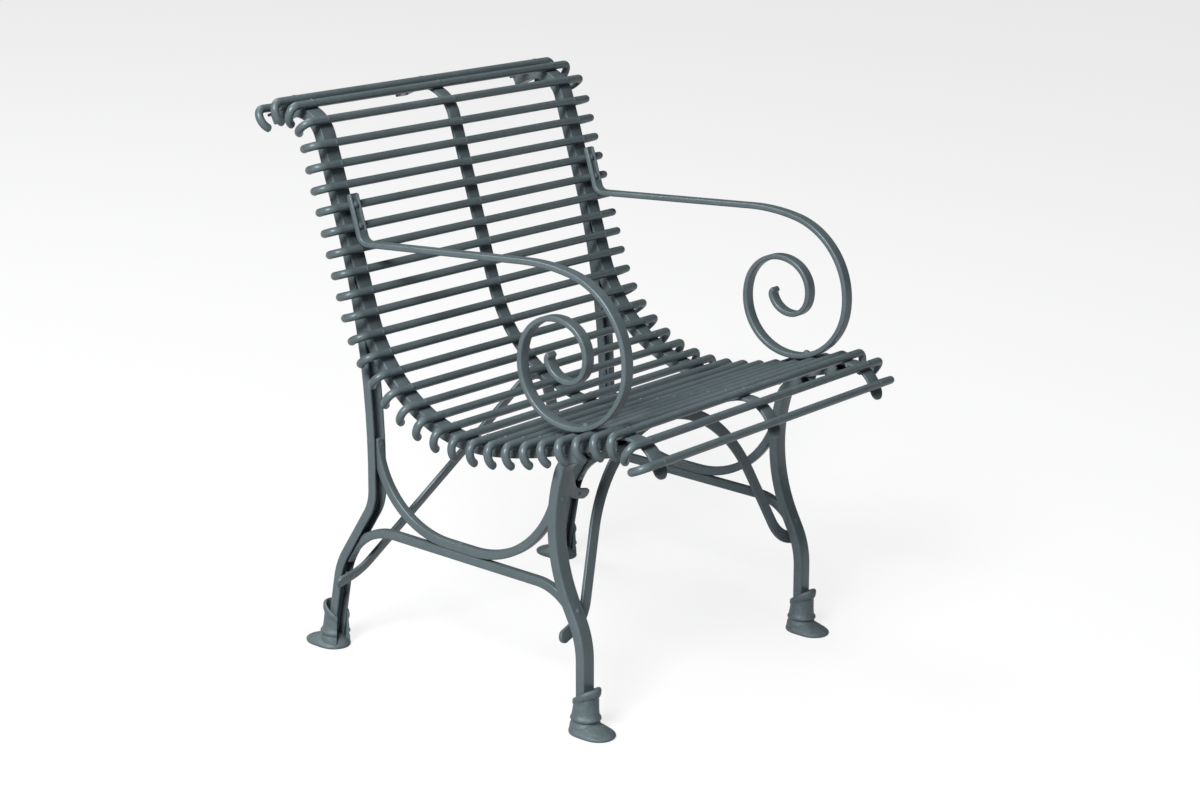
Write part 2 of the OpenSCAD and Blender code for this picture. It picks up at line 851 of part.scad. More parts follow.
// Arms
module arm(side) {
    color(iron)
        difference() {
            translate([side * frame_x, 0, 0])
                difference() {
                    bar_of(arm_outline);
                    recess();
                }
            arm_holes(side);
        }
}

module bar_of(q) {
    rotate([90, 0, 90])
        linear_extrude(arm_w, center = true)
            polygon(q);
}

// Recess in the upright's front face, open at the top
module recess() {
    low = beside(slat(rod_s(ARM_RODS[1])), rod_r + arm_t);
    stand(low)
        translate([-bolt_head / 2 - 1, -bolt_head / 2 - 1, -recess_d])
            cube([bolt_head + 2, rod_pitch + bolt_head + arm_top + 2, recess_d + 5]);
}

module arm_holes(side) {
    for (i = ARM_RODS)
        stand(slat(rod_s(i)), side * frame_x)
            translate([0, 0, rod_r + arm_t])
                hole(bolt_d, arm_t);
    stand(slat(seat_bolt_s), side * frame_x)
        translate([0, 0, scroll_rest + arm_t]) {
            hole(bolt_d, arm_t + 1);
            cylinder(d = bolt_head + 1, h = 2);
        }
}

nut_z = under - seat_gap - chan_d - nut_gap - nut_t;

module arm_bolts() {
    color(iron)
        for (side = [-1, 1]) {
            for (i = ARM_RODS)
                stand(slat(rod_s(i)), side * frame_x)
                    translate([0, 0, rod_r + arm_t - recess_d])
                        bolt(rod_r + arm_t - recess_d - nut_z);
            stand(slat(seat_bolt_s), side * frame_x)
                translate([0, 0, scroll_rest + arm_t])
                    bolt(scroll_rest + arm_t - rail_under + nut_t);
        }
}

module bolt(grip) {
    dome(bolt_head, bolt_head * 0.35);
    translate([0, 0, -grip])
        cylinder(d = bolt_d, h = grip);
}

module nut() {
    difference() {
        cylinder(d = nut_d, h = nut_t, $fn = 6);
        translate([0, 0, -1])
            cylinder(d = bolt_d + 2 * fit_gap, h = nut_t + 2);
    }
}

module arm_nuts() {
    color(iron)
        for (side = [-1, 1]) {
            for (i = ARM_RODS)
                stand(slat(rod_s(i)), side * frame_x)
                    translate([0, 0, nut_z])
                        nut();
            stand(slat(seat_bolt_s), side * frame_x)
                translate([0, 0, rail_under - nut_t])
                    nut();
        }
}

// Feet
// Half of a pad's outline, from its middle outwards
pad_shape = [
    [0, 0],
    [sole_w / 2 - 1, 0],
    [sole_w / 2, 1],
    [sole_w / 2, 4],
    [sole_w / 2 - 3, 8],
    [sole_w / 2 - 8, 12],
    [sole_w / 2 - 14, pad_h - 1],
    [sole_w / 2 - 18, pad_h],
    [0, pad_h]
];

module pad() {
    reach = (sole_l - sole_w) / 2;
    for (m = [0, 1])
        mirror([0, m, 0])
            translate([0, reach, 0])
                rotate_extrude(angle = 180)
                    polygon(pad_shape);
    rotate([90, 0, 0])
        linear_extrude(2 * reach, center = true)
            for (m = [0, 1])
                mirror([m, 0])
                    polygon(pad_shape);
}

bead_r = 2.5;
bead_z = 29;
collar_h = 7;

// Half of the sleeve's outline: a flare, a bead and a plain sleeve
sleeve_shape = concat(
    [[0, pad_h / 2], [sleeve_d / 2 + 4, pad_h / 2], [sleeve_d / 2 + 4, pad_h]],
    [for (a = [-75 : 30 : 75]) [sleeve_d / 2 + bead_r * cos(a), bead_z + bead_r * sin(a)]],
    [[sleeve_d / 2, rim_z + 20], [0, rim_z + 20]]
);

// Sleeve with a slanting rim, higher at the toe: Y points to the toe
module sleeve() {
    difference() {
        rotate_extrude()
            polygon(sleeve_shape);
        rim()
            translate([-sleeve_d, -2 * sleeve_d, -1])
                cube([2 * sleeve_d, 3 * sleeve_d, 2 * rim_z]);
    }
    intersection() {
        cylinder(d = sleeve_d + 2 * bead_r, h = rim_z + 20);
        rim()
            translate([-sleeve_d, -2 * sleeve_d, -collar_h])
                cube([2 * sleeve_d, 3 * sleeve_d, collar_h]);
    }
}

module rim() {
    translate([0, sleeve_d / 2, rim_z])
        rotate([rim_slope, 0, 0])
            children();
}

// Foot under a leg that passes through place at and is closed on side
module foot(at, p, closed, x) {
    leg = along(at, p, line_len(p));
    forward = leg[0] < 0 ? 1 : 0;
    mid = beside(leg, closed * chan_d / 2);
    color(iron)
        difference() {
            translate([x * frame_x, mid[0], 0])
                mirror([0, forward, 0]) {
                    translate([0, toe_shift, 0])
                        pad();
                    translate([0, -2, 0])
                        sleeve();
                }
            translate([x * frame_x, 0, 0])
                bar(at, p, -closed * sleeve_d, closed * (chan_d + fit_gap), chan_w + 2 * fit_gap);
        }
}

foot(front_start, front_line, -1, -1);  // foot_front_left
foot(front_start, front_line, -1, 1);  // foot_front_right
foot(post_start, post_line, 1, -1);  // foot_back_left
foot(post_start, post_line, 1, 1);  // foot_back_right
front_leg(-1);  // front_leg_left
front_leg(1);  // front_leg_right
back_post(-1);  // back_post_left
back_post(1);  // back_post_right
seat_rail(-1);  // seat_rail_left
seat_rail(1);  // seat_rail_right
rib(rib_w, rib_t, -1);  // rib_left
rib(mid_rib_w, mid_rib_t, 0);  // rib_middle
rib(rib_w, rib_t, 1);  // rib_right
arch(-1);  // arch_left
arch(1);  // arch_right
stretcher(-1);  // stretcher_left
stretcher(1);  // stretcher_right
front_brace();
back_brace();
arm(-1);  // arm_left
arm(1);  // arm_right
rod_rivets();
frame_rivets();
brace_rivets();
arm_bolts();
arm_nuts();
for (i = [1 : RODS])
    rod(i - 1);
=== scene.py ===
import math

import bpy
import numpy as np
from bpy.props import FloatProperty, FloatVectorProperty, PointerProperty
from mathutils import Matrix


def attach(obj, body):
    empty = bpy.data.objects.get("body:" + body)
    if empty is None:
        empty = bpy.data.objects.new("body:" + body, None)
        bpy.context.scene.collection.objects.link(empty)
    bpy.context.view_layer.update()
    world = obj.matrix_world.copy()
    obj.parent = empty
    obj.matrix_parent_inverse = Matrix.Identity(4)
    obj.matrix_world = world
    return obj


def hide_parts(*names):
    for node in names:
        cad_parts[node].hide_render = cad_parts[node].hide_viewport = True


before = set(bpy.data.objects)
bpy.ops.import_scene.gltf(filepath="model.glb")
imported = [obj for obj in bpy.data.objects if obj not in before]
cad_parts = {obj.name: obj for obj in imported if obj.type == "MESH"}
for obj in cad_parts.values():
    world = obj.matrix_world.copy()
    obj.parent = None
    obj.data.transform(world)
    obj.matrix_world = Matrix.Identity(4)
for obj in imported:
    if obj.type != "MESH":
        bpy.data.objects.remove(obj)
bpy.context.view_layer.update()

bl_info = {
    "name": "Wrought iron garden armchair",
    "version": (1, 0, 0),
    "blender": (4, 5, 0),
    "location": "3D View > Sidebar > Armchair",
    "description": "Round-edged bars, hooked rods, cast feet and satin paint for a garden armchair",
    "category": "Object",
}

# Sizes of the chair's bars, in millimetres and degrees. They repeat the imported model's own.
ROD_D = 12.0
ROD_R = ROD_D / 2
CHAIR_W = 660.0
FRAME_X = 281.0
SEAT_GAP = 0.1
LIP_GAPS, FLAT_GAPS, ROLL_GAPS = 2, 25, 4
RODS = LIP_GAPS + FLAT_GAPS + ROLL_GAPS + 1
ROD_PITCH, ROLL_PITCH = 30.7, 34.7
FRONT_Z, FRONT_LEAN = 418.0, 63.0
LIP_R, SEAT_RUN, SEAT_R, DIP_R, BACK_RUN, ROLL_R = 56.5, 125.0, 504.0, 211.0, 262.0, 63.0
HOOK_R, HOOK_TIP_R, HOOK_TIP = 11.5, 20.0, 66.0
RIB_W, RIB_T, MID_RIB_W, MID_RIB_T, TONGUE, RIB_TAIL = 28.0, 4.0, 25.0, 5.0, 22.0, 12.0
CHAN_W, CHAN_D, RAIL_D, CHAN_WALL = 26.0, 14.0, 12.0, 3.5
BAR_W, BAR_T, BAR_Z, ARCH_Z = 13.0, 13.0, 205.0, 337.0
STRETCH_BACK_Z, STRETCH_FRONT_Z = 137.0, 157.0
LEAVE_Z, FOOT_Z, FRONT_LEG_S, HEAD_FLAT, HEAD_R, HEAD_TURN = 649.0, 14.0, 188.0, 14.0, 40.0, 58.5
SEAT_FALL, DIP_FALL, BACK_LEAN, ROLL_FALL = 18.5, 7.0, 21.0, 28.5
POST_BOW_R, POST_BOW, KNEE_R, KNEE, SHIN = 1264.0, 18.0, 75.0, 31.5, 79.0
POST_FOOT_R, POST_FOOT_LEAN = 103.0, 6.0
LEG_BOW_R, LEG_BOW, LEG_RUN, LEG_FOOT_R, LEG_FOOT_LEAN = 268.0, 43.5, 19.0, 124.0, 4.5
BRACE_W, BRACE_T, BRACE_END, BRACE_TOE, BRACE_TOE_R, BRACE_GAP = 19.0, 5.0, 18.0, 15.0, 60.0, 0.3
BRACE_STRAIGHT = BRACE_END * 1.2
# Height on the legs, backward lean, and how much steeper than its chord each brace is
FRONT_BRACE, BACK_BRACE = (145.0, 15.0, 24.8), (117.0, -21.0, 5.5)
ARM_W, ARM_T, ARM_BEND_R, ARM_FALL, ARM_TOP, RECESS_D = 20.0, 8.0, 11.0, 6.0, 16.0, 4.0
ARM_RODS, SEAT_BOLT_RODS, BOLT_SHIFT, BOLT_HEAD = (7, 8), (26, 27), 5.5, 11.0
CROWN_R, CROWN, REST_R, REST = 126.0, 84.0, 293.0, 16.0
SCROLL_FOOT_R, SCROLL_FOOT = 94.0, 18.7
SCROLL = [(88.0, 83.5), (61.0, 107.0), (53.0, 74.6), (33.0, 74.0), (41.0, 68.0), (13.0, 78.0)]
SOLE_L, SOLE_W, DOME, TOE_SHIFT = 70.0, 54.0, 15.5, 13.0
SLEEVE_D, SLEEVE_WALL, RIM_Z, RIM_SLOPE = 37.0, 3.2, 72.0, 36.0
# Outside of the sleeve up to its bead and over it: height, and how far it stands out
SLEEVE_ROWS = ((4, 6.5), (11, 5.6), (15.5, 4.6), (17.6, 2.9), (19, 3.0), (20, 4.3), (21.6, 5.6),
               (23.8, 5.4), (25.8, 3.9), (27.6, 2.5), (31, 2.0), (36, 1.4))
# Roll outside the sleeve's rim: distance below the rim, and share of the roll's own size
RIM_ROWS = ((16.5, 0.0), (14.5, 0.2), (12.8, 0.62), (11, 0.85), (8.6, 0.98), (6, 1.0), (3.6, 0.98),
            (1.6, 0.72), (0.4, 0.2), (0.0, -0.7))

# Steps: rounds of halving, steps of a rounded corner, longest and shortest step along a line
HALVINGS, CORNER_STEPS, LONG_STEP, SHORT_STEP = 40, 4, 40.0, 0.05

# Camera as fitted to the photograph: its size and focal length in pixels
PHOTO_W, FOCAL, SENSOR = 1200.0, 2756.8, 36.0


# Bent lines in the side view: a place is (y, z, heading in degrees), and a line is a list of
# stretches, (length, 0) for a straight or (radius, angle) for an arc that turns left if positive.

def stretch_length(stretch):
    size, turn = stretch
    return size if turn == 0 else size * abs(math.radians(turn))


def line_length(line):
    return sum(stretch_length(s) for s in line)


def step_along(place, stretch):
    """Place after one stretch: a straight moves on, an arc goes round its centre on the left normal."""
    y, z, heading = place
    size, turn = stretch
    h = math.radians(heading)
    if turn == 0:
        return (y + size * math.cos(h), z + size * math.sin(h), heading)
    r = math.copysign(size, turn)
    g = math.radians(heading + turn)
    return (y + r * (math.sin(g) - math.sin(h)), z - r * (math.cos(g) - math.cos(h)), heading + turn)


def part_of(stretch, distance):
    size, turn = stretch
    return (distance, 0) if turn == 0 else (size, turn * distance / stretch_length(stretch))


def place_at(start, line, s):
    """Place at distance s, straight on before the start and past the end."""
    if s <= 0:
        return step_along(start, (s, 0))
    place = start
    for stretch in line:
        if s <= stretch_length(stretch):
            return step_along(place, part_of(stretch, s))
        place = step_along(place, stretch)
        s -= stretch_length(stretch)
    return step_along(place, (s, 0))


def cut_line(line, s0, s1):
    """Stretches from s0 to s1, with straights added before the start and past the end."""
    parts = [(-s0, 0)] if s0 < 0 else []
    at = 0.0
    for stretch in line:
        size = stretch_length(stretch)
        a, b = max(s0, at, 0.0), min(s1, at + size)
        if b > a:
            parts.append(part_of(stretch, b - a))
        at += size
    return parts + ([(s1 - at, 0)] if s1 > at else [])


def reverse_line(line):
    return [(size, -turn) for size, turn in reversed(line)]


def offset_line(line, b):
    return [(size, turn) if turn == 0 else (size - math.copysign(1, turn) * b, turn) for size, turn in line]


def beside(place, b):
    y, z, heading = place
    h = math.radians(heading)
    return (y - b * math.sin(h), z + b * math.cos(h), heading)


def turned(place):
    return (place[0], place[1], place[2] + 180)


def s_at_height(start, line, height, low, high):
    """Distance at which a falling line passes a height, by halving the interval."""
    for _ in range(HALVINGS):
        mid = (low + high) / 2
        if place_at(start, line, mid)[1] > height:
            low = mid
        else:
            high = mid
    return (low + high) / 2


# The middles of the rods lie on one line, from the frontmost rod up to the rolled top.
SLAT_LINE = [
    (LIP_R, -FRONT_LEAN - SEAT_FALL), (SEAT_RUN, 0), (SEAT_R, SEAT_FALL - DIP_FALL),
    (DIP_R, DIP_FALL + 90 - BACK_LEAN), (BACK_RUN, 0), (ROLL_R, BACK_LEAN - 90 - ROLL_FALL),
]
RAW_START = (0.0, FRONT_Z, FRONT_LEAN)


def rod_s(i):
    """Distance of a rod along that line. Rod 0 is the last, at the top."""
    j = RODS - 1 - i
    return (ROLL_PITCH * min(j, LIP_GAPS) + ROD_PITCH * min(max(j - LIP_GAPS, 0), FLAT_GAPS)
            + ROLL_PITCH * max(j - LIP_GAPS - FLAT_GAPS, 0))


RIB_S1 = rod_s(0) + RIB_TAIL
_tip = beside(step_along(RAW_START, (-TONGUE, 0)), -ROD_R)
_end = place_at(RAW_START, SLAT_LINE, RIB_S1)
_back = max(_end[0], place_at(RAW_START, SLAT_LINE, rod_s(0))[0] + ROD_R, beside(_end, -ROD_R)[0])
# The line starts so far forward that the ribs' ends lie equally far from the chair's middle.
SLAT_START = (-(_tip[0] + _back) / 2, FRONT_Z, FRONT_LEAN)


def slat(s):
    return place_at(SLAT_START, SLAT_LINE, s)


UNDER = -ROD_R - RIB_T
MID_UNDER = -ROD_R - MID_RIB_T


def to_foot(start, line):
    """Adds the straight stretch that ends a leg at the height of its foot."""
    end = place_at(start, line, line_length(line))
    return line + [((FOOT_Z - end[1]) / math.sin(math.radians(end[2])), 0)]


# A post follows the rib from its top end down to LEAVE_Z and bows away from it there.
BACK_TOP_S = rod_s(ROLL_GAPS)
LEAVE_S = s_at_height(turned(slat(BACK_TOP_S)), reverse_line(cut_line(SLAT_LINE, 0, BACK_TOP_S)),
                      LEAVE_Z, 0, 400)
POST_S1 = rod_s(0) + ROD_R
POST_START = turned(beside(slat(POST_S1), UNDER - SEAT_GAP))
POST_LINE = to_foot(POST_START, reverse_line(offset_line(
    cut_line(SLAT_LINE, BACK_TOP_S - LEAVE_S, POST_S1), UNDER - SEAT_GAP)) + [
    (POST_BOW_R, POST_BOW), (KNEE_R, KNEE), (SHIN, 0),
    (POST_FOOT_R, -(POST_BOW + KNEE - BACK_LEAN - POST_FOOT_LEAN))])
POST_ROLL_END = 300.0

RAIL_UNDER = UNDER - SEAT_GAP - RAIL_D
HEAD_CUT = HEAD_FLAT + HEAD_R * math.tan(math.radians(HEAD_TURN / 2))
LEG_START = beside(slat(FRONT_LEG_S - HEAD_CUT), RAIL_UNDER)
LEG_LINE = to_foot(LEG_START, [
    (HEAD_FLAT, 0), (HEAD_R, -HEAD_TURN), (LEG_BOW_R, -LEG_BOW), (LEG_RUN, 0),
    (LEG_FOOT_R, HEAD_TURN + LEG_BOW + SEAT_FALL - 90 - LEG_FOOT_LEAN)])


def post_at(z):
    """Place of a post at a height below its rolled top."""
    return place_at(POST_START, POST_LINE,
                    s_at_height(POST_START, POST_LINE, z, POST_ROLL_END, line_length(POST_LINE)))


def leg_at(z):
    return place_at(LEG_START, LEG_LINE, s_at_height(LEG_START, LEG_LINE, z, 0, line_length(LEG_LINE)))


def bar_line(a, b):
    """Bar that leaves one leg, levels out at the height of the arch's foot and meets the other leg."""
    ra = abs(a[1] - BAR_Z) / (1 + math.cos(math.radians(a[2])))
    rb = abs(b[1] - BAR_Z) / (1 + math.cos(math.radians(b[2])))
    run = (a[0] - b[0] - ra * abs(math.sin(math.radians(a[2])))
           - rb * abs(math.sin(math.radians(b[2]))))
    return [(ra, 180 - a[2]), (run, 0), (rb, b[2] - 180)]


WEB_IN = CHAN_D - CHAN_WALL
ARCH_START = beside(post_at(ARCH_Z), WEB_IN)
ARCH_LINE = bar_line(ARCH_START, turned(beside(leg_at(ARCH_Z), -WEB_IN)))
_foot = beside(post_at(STRETCH_BACK_Z), WEB_IN)
STRETCH_START = (_foot[0], _foot[1], _foot[2] - 180)
_toe = beside(leg_at(STRETCH_FRONT_Z), -WEB_IN)
STRETCH_LINE = bar_line(STRETCH_START, (_toe[0], _toe[1], _toe[2] + 360))


def arm_path():
    """Line down the upright's front face, along the top of the armrest and round the scroll."""
    bolt_s = (rod_s(SEAT_BOLT_RODS[0]) + rod_s(SEAT_BOLT_RODS[1])) / 2 - BOLT_SHIFT
    rest = math.sqrt((SCROLL_FOOT_R + ROD_R) ** 2 - (ROD_PITCH / 2 - BOLT_SHIFT) ** 2) - SCROLL_FOOT_R
    foot = beside(slat(bolt_s), rest)
    fall = -foot[2]
    front = [(SCROLL_FOOT_R, fall + CROWN + REST - 180 - ARM_FALL), (CROWN_R, -CROWN), (REST_R, -REST)]
    start = turned(foot)
    crown = place_at(start, front, line_length(front))
    face = beside(slat(rod_s(ARM_RODS[0])), ROD_R + ARM_T)
    bend = face[2] - crown[2] + (360 if crown[2] > 90 else 0)
    bend_end = step_along(crown, (ARM_BEND_R, bend))
    f, c = math.radians(face[2]), math.radians(crown[2])
    normal = np.array([-math.sin(f), math.cos(f)])
    run = normal @ (np.array(face[:2]) - bend_end[:2]) / (normal @ [math.cos(c), math.sin(c)])
    corner = step_along(step_along(crown, (run, 0)), (ARM_BEND_R, bend))
    upright = float(np.array([math.cos(f), math.sin(f)]) @ (np.array(face[:2]) - corner[:2])) + ARM_TOP
    back = front + [(run, 0), (ARM_BEND_R, bend), (upright, 0)]
    line = reverse_line(back) + [(SCROLL_FOOT_R, fall + SCROLL_FOOT)] + SCROLL
    return turned(place_at(start, back, line_length(back))), line


# Surfaces

def stations(line, extra=(), fine=3.0):
    """Distances along a line: the ends of its stretches, steps of a few degrees in its arcs, and extras."""
    marks, at = [np.array(list(extra) + [0.0])], 0.0
    for stretch in line:
        size = stretch_length(stretch)
        count = max(1, math.ceil(abs(stretch[1]) / fine), math.ceil(size / LONG_STEP))
        marks.append(at + size * np.arange(1, count + 1) / count)
        at += size
    s = np.unique(np.round(np.concatenate(marks), 4))
    s = s[(s >= 0) & (s <= at + 1e-6)]
    return s[np.concatenate([[True], np.diff(s) > SHORT_STEP])]


def end_marks(length, radius):
    """Distances that round the two ends of a bar over the given radius."""
    steps = radius * (1 - np.cos(np.radians([0, 25, 50, 70, 90])))
    return np.concatenate([steps, length - steps])


def path_places(start, line, s):
    return np.array([place_at(start, line, v) for v in s])


def rounded_box(width, low, high, radius):
    """Closed profile of a bar with round edges: four quarter circles, for one ring or for each ring.
    Width, low and high may change from ring to ring, and the radius shrinks where they are small."""
    width, low, high, radius = (np.atleast_1d(np.asarray(v, float)) for v in (width, low, high, radius))
    radius = np.minimum(radius, np.minimum(width, high - low) / 2 * 0.98)
    a = np.radians(np.linspace(0, 90, CORNER_STEPS + 1))
    parts = []
    for k, (sx, sy) in enumerate([(1, 1), (-1, 1), (-1, -1), (1, -1)]):
        turn = a + k * math.pi / 2
        cx = sx * (width / 2 - radius)
        cy = (high - radius) if sy > 0 else (low + radius)
        parts.append(np.stack([cx[:, None] + radius[:, None] * np.cos(turn),
                               cy[:, None] + radius[:, None] * np.sin(turn)], -1))
    return np.concatenate(parts, axis=1)


def rounded_outline(corners, radii):
    """Closed outline whose corners are arcs, each tangent to its two sides."""
    pts = np.asarray(corners, float)
    out = []
    for i, r in enumerate(radii):
        p, a, b = pts[i], pts[i - 1], pts[(i + 1) % len(pts)]
        u, v = (a - p) / np.linalg.norm(a - p), (b - p) / np.linalg.norm(b - p)
        half = math.acos(float(np.clip(u @ v, -1, 1))) / 2
        centre = p + (u + v) / np.linalg.norm(u + v) * r / math.sin(half)
        s, e = p + u * r / math.tan(half) - centre, p + v * r / math.tan(half) - centre
        t = np.linspace(0, 1, CORNER_STEPS + 1)[:, None]
        arc = (1 - t) * s + t * e
        out.append(centre + arc / np.linalg.norm(arc, axis=1)[:, None] * r)
    return np.concatenate(out)


def channel_outline(width, depth, wall, side):
    """Section of a channel whose web lies at side times depth: rolled outer corners, thin lips."""
    w, i = width / 2, width / 2 - wall
    pts = [(w, 0), (w, depth), (-w, depth), (-w, 0), (-i, 0), (-i, depth - wall), (i, depth - wall), (i, 0)]
    out = rounded_outline(pts, [0.8, 2.6, 2.6, 0.8, 0.8, 1.2, 1.2, 0.8])
    return out * [1, side]


def round_end_inset(s, length, radius):
    """Inset of a ring near an end: the quarter circle's height there."""
    d = np.clip(np.minimum(s, length - s), 0, radius)
    return radius - np.sqrt(np.maximum(radius ** 2 - (radius - d) ** 2, 0))


def carry(places, profile, x=0.0):
    """Carries a profile along places in the side view: its first axis runs across the chair and its
    second along the line's left normal."""
    y, z, h = places.T
    h = np.radians(h)[:, None]
    profile = np.broadcast_to(profile, (len(places),) + profile.shape[-2:])
    px, pb = profile[..., 0], profile[..., 1]
    return np.stack([x + px, y[:, None] - pb * np.sin(h), z[:, None] + pb * np.cos(h)], -1)


def tube_faces(rings, count):
    """Quads between neighbouring rings of a grid, and a flat face over each end."""
    i, j = np.meshgrid(np.arange(rings - 1), np.arange(count), indexing="ij")
    i1, j1 = i + 1, (j + 1) % count
    quads = np.stack([i * count + j, i * count + j1, i1 * count + j1, i1 * count + j], -1)
    faces = quads.reshape(-1, 4).tolist()
    faces.append(list(range(count - 1, -1, -1)))
    faces.append(list(range((rings - 1) * count, rings * count)))
    return faces


def outward(points, faces):
    """Turns the faces round where the volume that they enclose comes out negative."""
    flat = [(f[0], f[k], f[k + 1]) for f in faces for k in range(1, len(f) - 1)]
    t = points[np.array(flat)]
    volume = np.einsum("ij,ij->i", t[:, 0], np.cross(t[:, 1], t[:, 2])).sum()
    return faces if volume > 0 else [f[::-1] for f in faces]


def tube(grid):
    """Closed skin over a grid of points, ring after ring."""
    points = grid.reshape(-1, 3)
    return points, outward(points, tube_faces(*grid.shape[:2]))


def make_piece(name, nodes, parts, material, sharp=38.0):
    """One object from closed parts given in millimetres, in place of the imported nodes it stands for."""
    points, faces, base = [], [], 0
    for p, f in parts:
        points.append(p)
        faces += [[v + base for v in face] for face in f]
        base += len(p)
    mesh = bpy.data.meshes.new(name)
    mesh.from_pydata((np.concatenate(points) / 1000.0).tolist(), [], faces)
    mesh.validate()
    mesh.shade_smooth()
    mesh.set_sharp_from_angle(angle=math.radians(sharp))
    mesh.materials.append(material)
    piece = bpy.data.objects.new(name, mesh)
    bpy.context.scene.collection.objects.link(piece)
    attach(piece, "root")
    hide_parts(*nodes)
    return piece


# Shaders

class Wire:
    """A socket's value in a shader. Arithmetic on it adds Math nodes."""

    def __init__(self, shader, value):
        self.shader, self.value = shader, value

    def _math(self, operation, a, b):
        a, b = (v.value if isinstance(v, Wire) else v for v in (a, b))
        return self.shader.node("ShaderNodeMath", {"operation": operation}, {0: a, 1: b})

    def __add__(self, other):
        return self._math("ADD", self, other)

    __radd__ = __add__

    def __mul__(self, other):
        return self._math("MULTIPLY", self, other)

    __rmul__ = __mul__


class Shader:
    """A material's node tree, with one method that adds any node."""

    def __init__(self, name):
        self.material = bpy.data.materials.new(name)
        self.material.use_nodes = True
        self.tree = self.material.node_tree
        self.surface = self.tree.nodes["Principled BSDF"]
        self.output = self.tree.nodes["Material Output"]

    def node(self, kind, settings=None, inputs=None, out=0):
        n = self.tree.nodes.new(kind)
        for key, value in (settings or {}).items():
            if key == "stops":
                for element, (position, grey) in zip(n.color_ramp.elements, value):
                    element.position, element.color = position, (grey, grey, grey, 1)
            else:
                setattr(n, key, value)
        for key, value in (inputs or {}).items():
            self.feed(n.inputs[key], value)
        return Wire(self, n.outputs[out])

    def feed(self, socket, value):
        if isinstance(value, Wire):
            value = value.value
        if isinstance(value, bpy.types.NodeSocket):
            self.tree.links.new(value, socket)
        else:
            socket.default_value = value

    def noise(self, place, scale, detail=2.0, roughness=0.5):
        return self.node("ShaderNodeTexNoise", {}, {
            "Vector": place, "Scale": scale, "Detail": detail, "Roughness": roughness})

    def blend(self, factor, a, b):
        return self.node("ShaderNodeMix", {"data_type": "RGBA"}, {"Factor": factor, 6: a, 7: b}, out=2)


def iron_paint(name, colour, roughness, hammer, grain, dust):
    """Satin paint on iron: broad cloudy shade, a slightly wavy forged surface and a fine orange peel."""
    s = Shader(name)
    place = s.node("ShaderNodeTexCoord", out=3)
    clouds = s.noise(place, 9.0, 3.0, 0.6)
    mottle = s.noise(place, 60.0, 4.0, 0.65)
    peel = s.noise(place, 850.0, 2.0)
    waves = s.noise(place, 95.0, 2.0)
    shade = s.node("ShaderNodeValToRGB", {"stops": [(0.32, 0.0), (0.68, 1.0)]},
                   {"Fac": clouds * 0.55 + mottle * 0.45})
    dark = (*[c * 0.84 for c in colour], 1.0)
    light = (*[c * 1.12 + 0.002 for c in colour], 1.0)
    tone = s.blend(shade, dark, light)
    if dust:
        specks = s.node("ShaderNodeValToRGB", {"stops": [(0.62, 0.0), (0.78, 1.0)]},
                        {"Fac": s.noise(place, 210.0, 3.0, 0.7)})
        tone = s.blend(specks * dust, tone, (*[min(1.0, c * 1.6 + 0.02) for c in colour], 1.0))
    s.feed(s.surface.inputs["Base Color"], tone)
    s.feed(s.surface.inputs["Roughness"], mottle * 0.16 + peel * 0.08 + (roughness - 0.12))
    s.surface.inputs["Metallic"].default_value = 0.0
    s.surface.inputs["IOR"].default_value = 1.48
    s.surface.inputs["Specular Tint"].default_value = (0.74, 0.90, 1.0, 1.0)
    height = waves * hammer + peel * grain
    bump = s.node("ShaderNodeBump", {}, {"Height": height, "Strength": 0.8, "Distance": 0.0005})
    s.feed(s.surface.inputs["Normal"], bump)
    return s.material


# Roughness over the paint's own, hammer marks, grain and dust of each kind of iron
FINISHES = {
    "iron paint": (0.0, 1.0, 0.30, 0.0),
    "cast iron paint": (0.08, 4.5, 1.4, 0.6),
    "fastener paint": (0.0, 0.6, 0.2, 0.0),
}


def paint(kind="iron paint"):
    look = bpy.context.scene.armchair_look
    rougher, hammer, grain, dust = FINISHES[kind]
    return bpy.data.materials.get(kind) or iron_paint(
        kind, look.paint_colour, look.paint_roughness + rougher, hammer, grain, dust)


class ArmchairSizes(bpy.types.PropertyGroup):
    """Sizes of the finish that a user may change."""
    bar_edge: FloatProperty(name="Bar edge", description="Radius of the round edges of the square bars",
                            default=0.0022, min=0.0005, max=0.004, unit="LENGTH")
    arm_edge: FloatProperty(name="Arm edge", description="Radius of the round edges of the arms",
                            default=0.0026, min=0.0005, max=0.0038, unit="LENGTH")
    strap_edge: FloatProperty(name="Strap edge", description="Radius of the edges of ribs and braces",
                              default=0.0010, min=0.0003, max=0.0018, unit="LENGTH")
    tip_edge: FloatProperty(name="Rod tip", description="Radius that rounds the end of a hooked rod",
                            default=0.0022, min=0.0005, max=0.005, unit="LENGTH")
    sole_edge: FloatProperty(name="Sole edge", description="Height of the edge of a foot's pad",
                             default=0.0045, min=0.002, max=0.008, unit="LENGTH")


class ArmchairLook(bpy.types.PropertyGroup):
    """Colours and light."""
    paint_colour: FloatVectorProperty(name="Paint", description="Colour of the paint", subtype="COLOR",
                                      size=3, min=0.0, max=1.0, default=(0.075, 0.098, 0.106))
    paint_roughness: FloatProperty(name="Roughness", description="Roughness of the paint", default=0.38,
                                   min=0.0, max=1.0, subtype="FACTOR")
    floor_colour: FloatVectorProperty(name="Floor", description="Colour of the floor", subtype="COLOR",
                                      size=3, min=0.0, max=1.0, default=(0.155, 0.157, 0.160))


